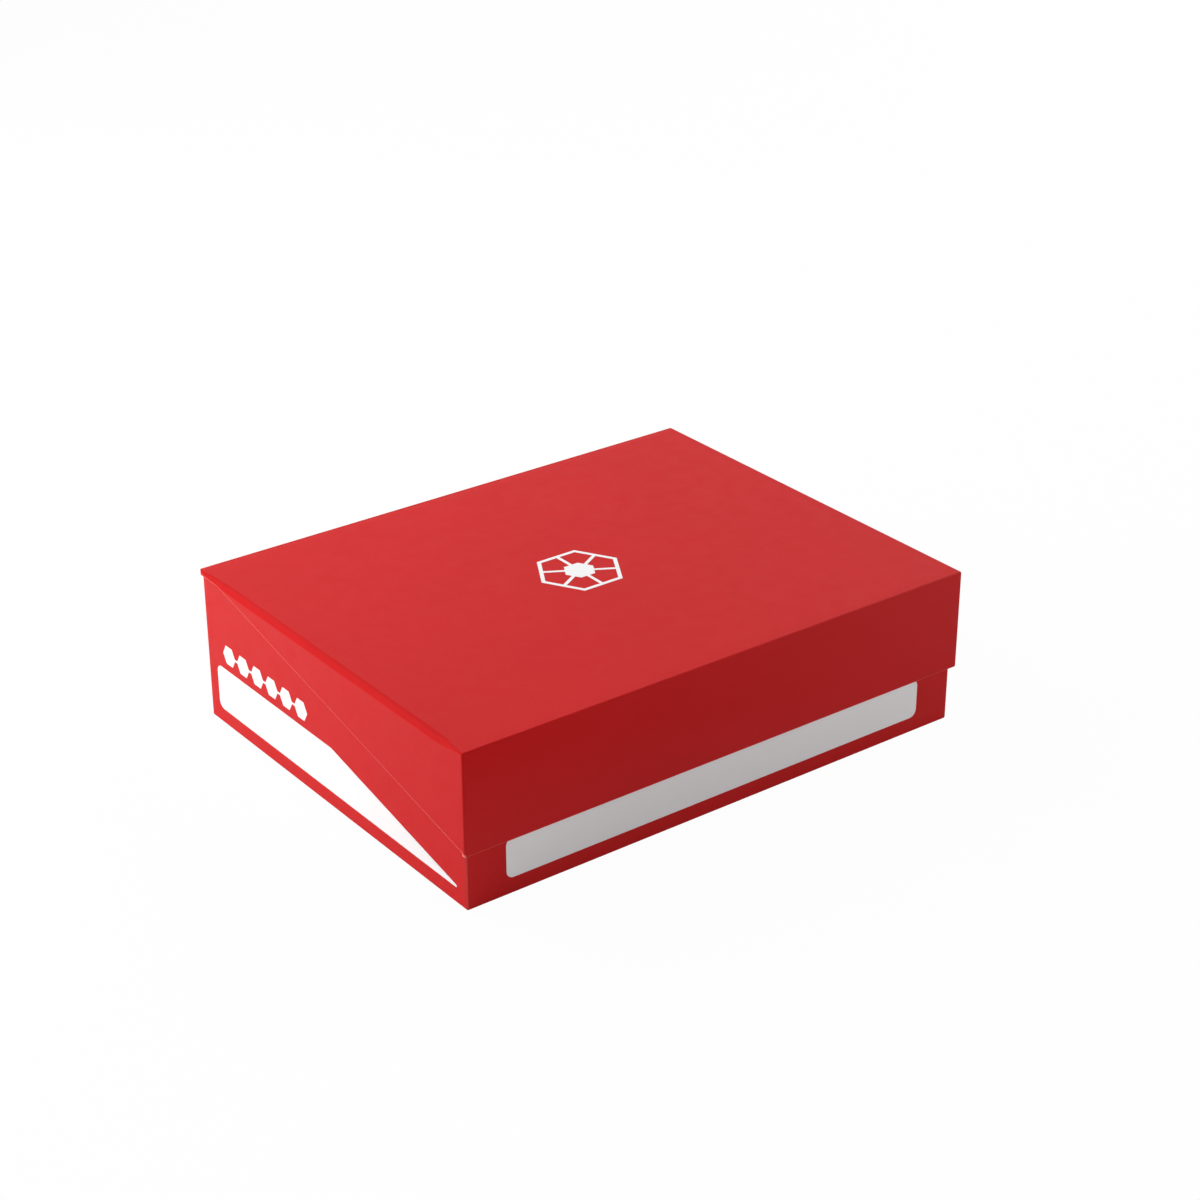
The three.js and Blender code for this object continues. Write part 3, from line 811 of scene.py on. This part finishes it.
def make_divider(node):
    """A thin plate with a scooped lower edge and a finger notch."""
    plate = Extent(node)
    centre_x = plate.middle("x")
    radius = SCOOP_RADIUS - DIVIDER_PLAY
    corner = DIVIDER_CORNER
    outline = arc_points((plate.x0 + radius, plate.z0 + radius), radius, 180, 270, ARC_SEGMENTS)
    outline += arc_points((plate.x1 - radius, plate.z0 + radius), radius, 270, 360, ARC_SEGMENTS)
    outline += arc_points((plate.x1 - corner, plate.z1 - corner), corner, 0, 90, 6)
    outline += arc_points((centre_x, plate.z1), DIVIDER_NOTCH_RADIUS, 0, -180, ARC_SEGMENTS)
    outline += arc_points((plate.x0 + corner, plate.z1 - corner), corner, 90, 180, 6)
    obj = piece(node + "_plate", prism(without_repeats(outline), plate.y0, plate.y1))
    soften_moulded_edges(obj)
    return finished(obj, "base", "divider", node)


# ---------------------------------------------------------------- materials

COVER_RED = (0.573, 0.012, 0.013)
PAINTED_HIGHLIGHT_RED = (0.95, 0.36, 0.3)        # pale red painted where light catches a folded edge: a painted highlight
LINING_GREY = (0.045, 0.043, 0.047)
LABEL_WHITE = (0.91, 0.91, 0.915)
TRAY_GREY = (0.58, 0.59, 0.6)
DIVIDER_WHITE = (0.77, 0.77, 0.76)
BOARD_GREY = (0.27, 0.25, 0.23)
STEEL = (0.42, 0.43, 0.45)
NICKEL = (0.62, 0.6, 0.56)
COVER_SHINE = 0.12          # specular level of the cover
STRETCHED_SHINE = 0.02      # and where it is stretched over the left top edge


def new_material(name):
    material = bpy.data.materials.new(name)
    material.use_nodes = True
    return material


def node(tree, kind, inputs=None, **settings):
    """Adds a shader node. inputs maps a socket's name or number to a value or to another socket."""
    made = tree.nodes.new(kind)
    for key, value in settings.items():
        setattr(made, key, value)
    for key, value in (inputs or {}).items():
        if isinstance(value, bpy.types.NodeSocket):
            tree.links.new(value, made.inputs[key])
        else:
            made.inputs[key].default_value = value
    return made


def maths(tree, operation, a, b=0.0, clamp=False):
    made = node(tree, "ShaderNodeMath", {0: a, 1: b}, operation=operation, use_clamp=clamp)
    return made.outputs[0]


def remap(tree, value, low, high, to_low, to_high):
    made = node(tree, "ShaderNodeMapRange", {
        "Value": value, "From Min": low, "From Max": high, "To Min": to_low, "To Max": to_high})
    return made.outputs["Result"]


def noise(tree, place, scale, detail=2.0, roughness=0.5):
    return node(tree, "ShaderNodeTexNoise", {
        "Vector": place, "Scale": scale, "Detail": detail, "Roughness": roughness}).outputs["Fac"]


def cells(tree, place, scale, feature="F1", randomness=1.0):
    return node(tree, "ShaderNodeTexVoronoi", {
        "Vector": place, "Scale": scale, "Randomness": randomness}, feature=feature).outputs["Distance"]


def surface_place(tree, moving):
    """Places in metres on the piece at rest. Cloth that bends reads them from its own points."""
    if moving:
        return node(tree, "ShaderNodeAttribute", attribute_name="rest_position").outputs["Vector"]
    return node(tree, "ShaderNodeTexCoord").outputs["Object"]


def tinted(tree, colour, factor):
    """A colour whose brightness is multiplied by a socket's value."""
    return node(tree, "ShaderNodeMix", {
        0: 1.0, 6: (*colour, 1), 7: factor}, data_type="RGBA", blend_type="MULTIPLY").outputs[2]


def bump(tree, height, distance, strength=1.0):
    return node(tree, "ShaderNodeBump", {
        "Height": height, "Distance": distance, "Strength": strength}).outputs["Normal"]


def finish_surface(material, **inputs):
    """Feeds the material's Principled shader."""
    tree = material.node_tree
    shader = tree.nodes["Principled BSDF"]
    for key, value in inputs.items():
        socket = shader.inputs[key.replace("_", " ")]
        if isinstance(value, bpy.types.NodeSocket):
            tree.links.new(value, socket)
        else:
            socket.default_value = value
    return material


def leather(name, moving=False):
    """Fine red synthetic leather: a tight pebble grain, softly varied colour, a faint satin shine and a
    painted highlight on lit folded edges.
    """
    material = new_material(name)
    tree = material.node_tree
    place = surface_place(tree, moving)
    pebbles = cells(tree, place, 1900, "SMOOTH_F1", 0.9)
    pores = noise(tree, place, 5200, 2.0)
    waves = noise(tree, place, 130, 2.0)
    patches = noise(tree, place, 22, 3.0)
    grain = maths(tree, "ADD", maths(tree, "MULTIPLY", pebbles, 0.7), maths(tree, "MULTIPLY", pores, 0.3))
    shade = maths(tree, "MULTIPLY", remap(tree, grain, 0.2, 0.8, 1.025, 0.975),
                  remap(tree, patches, 0.3, 0.7, 0.985, 1.015))
    dull = maths(tree, "ADD", remap(tree, waves, 0.3, 0.7, 0.46, 0.52),
                 remap(tree, grain, 0.2, 0.8, -0.03, 0.03))
    # Painted highlight: the pale red mixed in along the folded edges stands in for light catching them.
    highlight_mask = node(tree, "ShaderNodeAttribute", attribute_name="painted_edge_highlight").outputs["Fac"]
    highlight_share = maths(tree, "MULTIPLY", highlight_mask, remap(tree, waves, 0.3, 0.7, 0.7, 0.9))
    stretch = node(tree, "ShaderNodeAttribute", attribute_name="edge_stretch").outputs["Fac"]
    shine = remap(tree, stretch, 0.0, 1.0, COVER_SHINE, STRETCHED_SHINE)
    colour = node(tree, "ShaderNodeMix", {
        0: highlight_share, 6: tinted(tree, COVER_RED, shade), 7: (*PAINTED_HIGHLIGHT_RED, 1)}, data_type="RGBA").outputs[2]
    broad = bump(tree, waves, 0.00002, 0.5)
    grain_bump = node(tree, "ShaderNodeBump", {
        "Height": grain, "Distance": 0.00004, "Strength": 0.35, "Normal": broad}, invert=True)
    return finish_surface(
        material, Base_Color=colour, Roughness=dull, Normal=grain_bump.outputs["Normal"],
        Specular_IOR_Level=shine)


def microfibre(name, moving=False):
    """Charcoal lining cloth: short brushed pile with a soft sheen."""
    material = new_material(name)
    tree = material.node_tree
    place = surface_place(tree, moving)
    pile = noise(tree, place, 2600, 4.0, 0.7)
    strokes = noise(tree, place, 70, 3.0, 0.6)
    shade = maths(tree, "MULTIPLY", remap(tree, pile, 0.3, 0.7, 0.75, 1.25),
                  remap(tree, strokes, 0.3, 0.7, 0.88, 1.12))
    normal = bump(tree, pile, 0.00012, 0.6)
    return finish_surface(
        material, Base_Color=tinted(tree, LINING_GREY, shade), Roughness=0.95, Normal=normal,
        Sheen_Weight=0.08, Sheen_Roughness=0.5, Specular_IOR_Level=0.15)


def label_stock(name):
    """White coated label stock with a faint fibre texture."""
    material = new_material(name)
    tree = material.node_tree
    place = surface_place(tree, False)
    fibres = noise(tree, place, 1400, 4.0, 0.65)
    clouds = noise(tree, place, 60, 2.0)
    shade = maths(tree, "MULTIPLY", remap(tree, fibres, 0.3, 0.7, 0.992, 1.0),
                  remap(tree, clouds, 0.3, 0.7, 0.993, 1.0))
    dull = remap(tree, fibres, 0.3, 0.7, 0.42, 0.52)
    normal = bump(tree, fibres, 0.00001, 0.3)
    return finish_surface(
        material, Base_Color=tinted(tree, LABEL_WHITE, shade), Roughness=dull, Normal=normal)


def white_ink(name):
    """Thick white screen print, a little glossier than the cover."""
    material = new_material(name)
    tree = material.node_tree
    place = surface_place(tree, False)
    specks = noise(tree, place, 1900, 3.0, 0.6)
    shade = remap(tree, specks, 0.3, 0.7, 0.985, 1.0)
    normal = bump(tree, specks, 0.000015, 0.4)
    return finish_surface(
        material, Base_Color=tinted(tree, LABEL_WHITE, shade),
        Roughness=remap(tree, specks, 0.3, 0.7, 0.36, 0.44), Normal=normal)


def moulded_plastic(name, colour, roughness, texture):
    """Satin moulded plastic with a fine spark-eroded texture and faint flow marks."""
    material = new_material(name)
    tree = material.node_tree
    place = surface_place(tree, False)
    erosion = noise(tree, place, 3000, 3.0, 0.6)
    flow = noise(tree, node(tree, "ShaderNodeMapping", {
        "Vector": place, "Scale": (1, 0.25, 1)}).outputs["Vector"], 45, 3.0)
    shade = maths(tree, "MULTIPLY", remap(tree, erosion, 0.3, 0.7, 0.98, 1.02),
                  remap(tree, flow, 0.3, 0.7, 0.985, 1.015))
    dull = remap(tree, erosion, 0.3, 0.7, roughness - 0.05, roughness + 0.05)
    normal = bump(tree, erosion, 0.00003, texture)
    return finish_surface(
        material, Base_Color=tinted(tree, colour, shade), Roughness=dull, Normal=normal)


def greyboard(name):
    """Recycled grey board with visible flecks of fibre."""
    material = new_material(name)
    tree = material.node_tree
    place = surface_place(tree, False)
    fibres = noise(tree, place, 900, 5.0, 0.7)
    flecks = remap(tree, noise(tree, place, 320, 2.0), 0.62, 0.7, 1.0, 0.7)
    shade = maths(tree, "MULTIPLY", remap(tree, fibres, 0.3, 0.7, 0.85, 1.15), flecks)
    return finish_surface(
        material, Base_Color=tinted(tree, BOARD_GREY, shade), Roughness=0.92,
        Normal=bump(tree, fibres, 0.00006, 0.6))


def plated_metal(name, colour, roughness, streaks):
    """Bare or plated metal with fine brushing along X."""
    material = new_material(name)
    tree = material.node_tree
    place = surface_place(tree, False)
    stretched = node(tree, "ShaderNodeMapping", {
        "Vector": place, "Scale": (0.04, 1, 1)}).outputs["Vector"]
    brushing = noise(tree, stretched, 9000, 3.0, 0.6)
    dull = remap(tree, brushing, 0.3, 0.7, roughness - streaks, roughness + streaks)
    return finish_surface(
        material, Base_Color=tinted(tree, colour, remap(tree, brushing, 0.3, 0.7, 0.93, 1.05)),
        Metallic=1.0, Roughness=dull, Normal=bump(tree, brushing, 0.000004, 0.5))


def dress(obj, material):
    """Gives an object one material, on the object itself so that a CAD mesh stays untouched."""
    if not obj.material_slots:
        obj.data.materials.append(material)
        return
    for slot in obj.material_slots:
        slot.link = "OBJECT"
        slot.material = material


# ---------------------------------------------------------------- assembly

def build_box():
    red = leather("red_synthetic_leather")
    red_bending = leather("red_synthetic_leather_bending", moving=True)
    charcoal = microfibre("charcoal_microfibre")
    charcoal_bending = microfibre("charcoal_microfibre_bending", moving=True)
    label_white = label_stock("label_stock")
    ink = white_ink("white_print")
    grey_plastic = moulded_plastic("tray_plastic", TRAY_GREY, 0.42, 0.35)
    pale_plastic = moulded_plastic("divider_plastic", DIVIDER_WHITE, 0.36, 0.2)
    board = greyboard("greyboard")
    steel = plated_metal("keeper_steel", STEEL, 0.38, 0.1)
    nickel = plated_metal("magnet_nickel", NICKEL, 0.2, 0.05)

    dress(make_lid_shell(), red)
    dress(make_base_shell(), red)
    dress(make_hinge_cloth(), red_bending)
    dress(make_hinge_lining(), charcoal_bending)
    dress(make_lid_lining(), charcoal)
    dress(make_base_lining(), charcoal)
    dress(make_front_label(), label_white)
    dress(make_side_label(-1, "left_label"), label_white)
    dress(make_side_label(1, "right_label"), label_white)
    for tray in ("tray_left", "tray_right"):
        dress(make_tray(tray), grey_plastic)
    for divider in (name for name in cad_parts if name.startswith("divider_")):
        dress(make_divider(divider), pale_plastic)
    for name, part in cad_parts.items():
        if name.endswith("_board"):
            dress(part, board)
        elif name.endswith("_mark"):
            dress(part, ink)
        elif name.startswith("keeper_plate"):
            dress(part, steel)
        elif name.startswith("magnet"):
            dress(part, nickel)


# ---------------------------------------------------------------- camera, light and floor

CAMERA_PLACE = (-0.51135, -0.68875, 0.47703)
CAMERA_FORWARD = (0.53957, 0.71373, -0.4466)
CAMERA_RIGHT = (0.79744, -0.6034, -0.00087)
CAMERA_LENS = 78.644        # millimetres, on a sensor 36 mm wide
LIGHTS_AIM = (0, 0, 0.03)
ROOM_LIGHT = 0.15           # strength of the even light from all round
FLOOR_HALF_SIZE = 4000
FLOOR_LIFT = 0.97           # how much of what the camera sees of the floor is plain white


def make_camera():
    """From the front left and above, looking down at about 27 degrees."""
    data = bpy.data.cameras.new("camera")
    data.sensor_width = 36
    data.lens = CAMERA_LENS
    data.clip_start = 0.05
    data.clip_end = 20
    camera = bpy.data.objects.new("camera", data)
    SCENE.collection.objects.link(camera)
    forward = Vector(CAMERA_FORWARD).normalized()
    right = Vector(CAMERA_RIGHT).normalized()
    up = right.cross(forward)
    rotation = Matrix((right, up, -forward)).transposed()
    camera.matrix_world = Matrix.Translation(CAMERA_PLACE) @ rotation.to_4x4()
    SCENE.camera = camera


def area_light(name, location, size, power):
    """A white softbox aimed at the middle of the box."""
    data = bpy.data.lights.new(name, "AREA")
    data.shape = "RECTANGLE"
    data.size, data.size_y = size
    data.energy = power
    lamp = bpy.data.objects.new(name, data)
    SCENE.collection.objects.link(lamp)
    lamp.location = location
    lamp.visible_camera = False
    lamp.rotation_euler = (Vector(LIGHTS_AIM) - Vector(location)).to_track_quat("-Z", "Y").to_euler()


def floor_material():
    """Matt paper that the camera sees as almost plain white, so that it hardly shows a shadow."""
    material = new_material("floor_white")
    tree = material.node_tree
    shader = tree.nodes["Principled BSDF"]
    shader.inputs["Base Color"].default_value = (0.8, 0.8, 0.8, 1)
    shader.inputs["Roughness"].default_value = 0.9
    shader.inputs["Specular IOR Level"].default_value = 0.1
    glow = node(tree, "ShaderNodeEmission", {"Color": (1, 1, 1, 1), "Strength": 1.0})
    seen = node(tree, "ShaderNodeLightPath").outputs["Is Camera Ray"]
    share = maths(tree, "MULTIPLY", seen, FLOOR_LIFT)
    mixed = node(tree, "ShaderNodeMixShader", {0: share, 1: shader.outputs[0], 2: glow.outputs[0]})
    tree.links.new(mixed.outputs[0], tree.nodes["Material Output"].inputs["Surface"])
    return material


def studio_world():
    """A white backdrop for the camera and a dim, even light for everything else."""
    world = bpy.data.worlds.new("studio")
    world.use_nodes = True
    tree = world.node_tree
    dim = tree.nodes["Background"]
    dim.inputs["Color"].default_value = (1, 1, 1, 1)
    dim.inputs["Strength"].default_value = ROOM_LIGHT
    backdrop = node(tree, "ShaderNodeBackground", {"Color": (1, 1, 1, 1), "Strength": 1.0})
    seen = node(tree, "ShaderNodeLightPath").outputs["Is Camera Ray"]
    mixed = node(tree, "ShaderNodeMixShader", {0: seen, 1: dim.outputs[0], 2: backdrop.outputs[0]})
    tree.links.new(mixed.outputs[0], tree.nodes["World Output"].inputs["Surface"])
    return world


def make_stage():
    """The floor, the white surroundings and the six softboxes."""
    bm = bmesh.new()
    bmesh.ops.create_grid(bm, x_segments=1, y_segments=1, size=FLOOR_HALF_SIZE)
    floor = piece("floor", bm)
    dress(floor, floor_material())
    SCENE.world = studio_world()
    SCENE.view_settings.view_transform = "Standard"
    area_light("left_low_softbox", (-1.5, 0.3, 0.3), (1, 1), 6.5)
    area_light("left_rear_softbox", (-0.55, 0.45, 0.45), (0.6, 0.6), 5.0)
    area_light("rear_softbox", (-0.2, 0.7, 0.55), (0.6, 0.6), 3.3)
    area_light("right_rear_softbox", (1.0, 1.3, 0.5), (1.2, 0.9), 2.6)
    area_light("right_softbox", (1.5, 0.2, 0.8), (1, 1), 14.6)
    area_light("front_right_softbox", (0.9, -1.2, 0.6), (1, 1), 7.6)


build_box()
make_camera()
make_stage()
